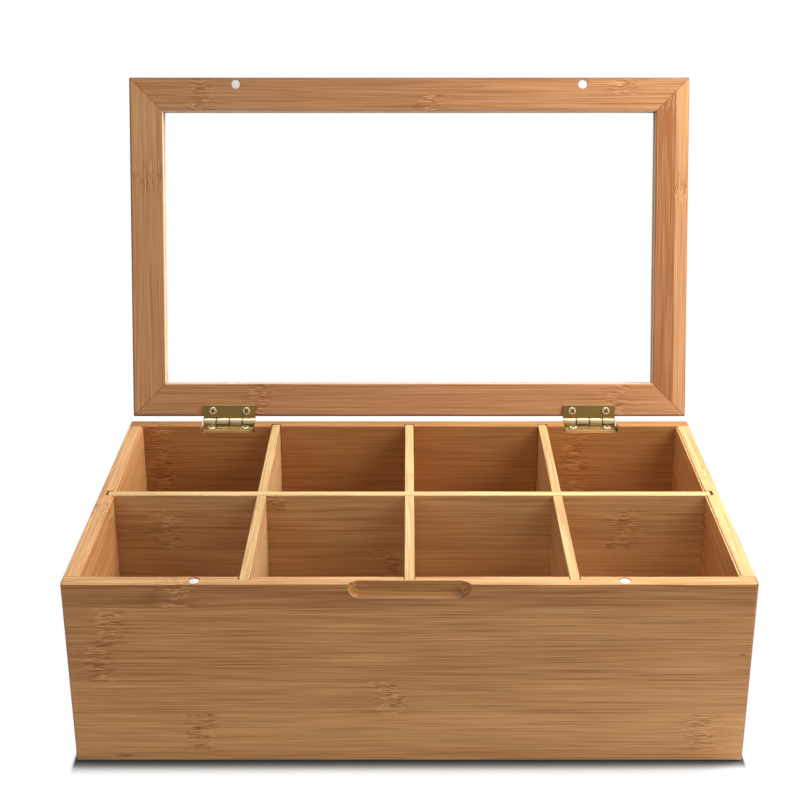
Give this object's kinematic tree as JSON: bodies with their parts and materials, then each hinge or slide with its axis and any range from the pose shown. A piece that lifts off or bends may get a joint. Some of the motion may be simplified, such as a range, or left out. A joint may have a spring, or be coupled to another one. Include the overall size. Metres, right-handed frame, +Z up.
{
  "type": "tea bag organizer box",
  "caption": "Long bamboo keeper box with a grid of open bays, finger notch, brass hinges, magnet catches and a framed clear lid standing open.",
  "frame": {"origin": "middle of the box's underside, on the surface that it stands on", "axes": "+X to the right along the length, +Y to the back, where the hinges are, +Z up; the front with the finger notch faces -Y"},
  "size_m": [0.32, 0.2695, 0.2811],
  "materials": {
    "bamboo_wall": "clear lacquered bamboo, satin",
    "bamboo_base": "clear lacquered bamboo, satin",
    "bamboo_divider": "clear lacquered bamboo, satin",
    "bamboo_lid": "clear lacquered bamboo, satin",
    "clear_pane": "clear, polished",
    "hinge_brass": "polished",
    "magnet_nickel": "nickel plated, bright"
  },
  "bodies": {
    "box": {"front_panel": "bamboo_wall", "back_panel": "bamboo_wall", "left_side": "bamboo_wall", "right_side": "bamboo_wall", "base_panel": "bamboo_base", "long_divider": "bamboo_divider", "left_divider": "bamboo_divider", "centre_divider": "bamboo_divider", "right_divider": "bamboo_divider", "left_box_magnet": "magnet_nickel", "right_box_magnet": "magnet_nickel", "left_box_leaf": "hinge_brass", "right_box_leaf": "hinge_brass", "left_hinge_pin": "hinge_brass", "right_hinge_pin": "hinge_brass", "box_screw_1": "hinge_brass", "box_screw_2": "hinge_brass", "box_screw_3": "hinge_brass", "box_screw_4": "hinge_brass"},
    "lid": {"lid_front_rail": "bamboo_lid", "lid_rear_rail": "bamboo_lid", "lid_left_stile": "bamboo_lid", "lid_right_stile": "bamboo_lid", "lid_window": "clear_pane", "left_lid_magnet": "magnet_nickel", "right_lid_magnet": "magnet_nickel", "left_lid_leaf": "hinge_brass", "right_lid_leaf": "hinge_brass", "lid_screw_1": "hinge_brass", "lid_screw_2": "hinge_brass", "lid_screw_3": "hinge_brass", "lid_screw_4": "hinge_brass"}
  },
  "joints": [
    {"name": "lid_hinge", "type": "hinge", "parent": "box", "child": "lid", "pos_m": [0, 0.1, 0.0942], "axis": [1, 0, 0], "range_deg": [0, 107.5]}
  ]
}
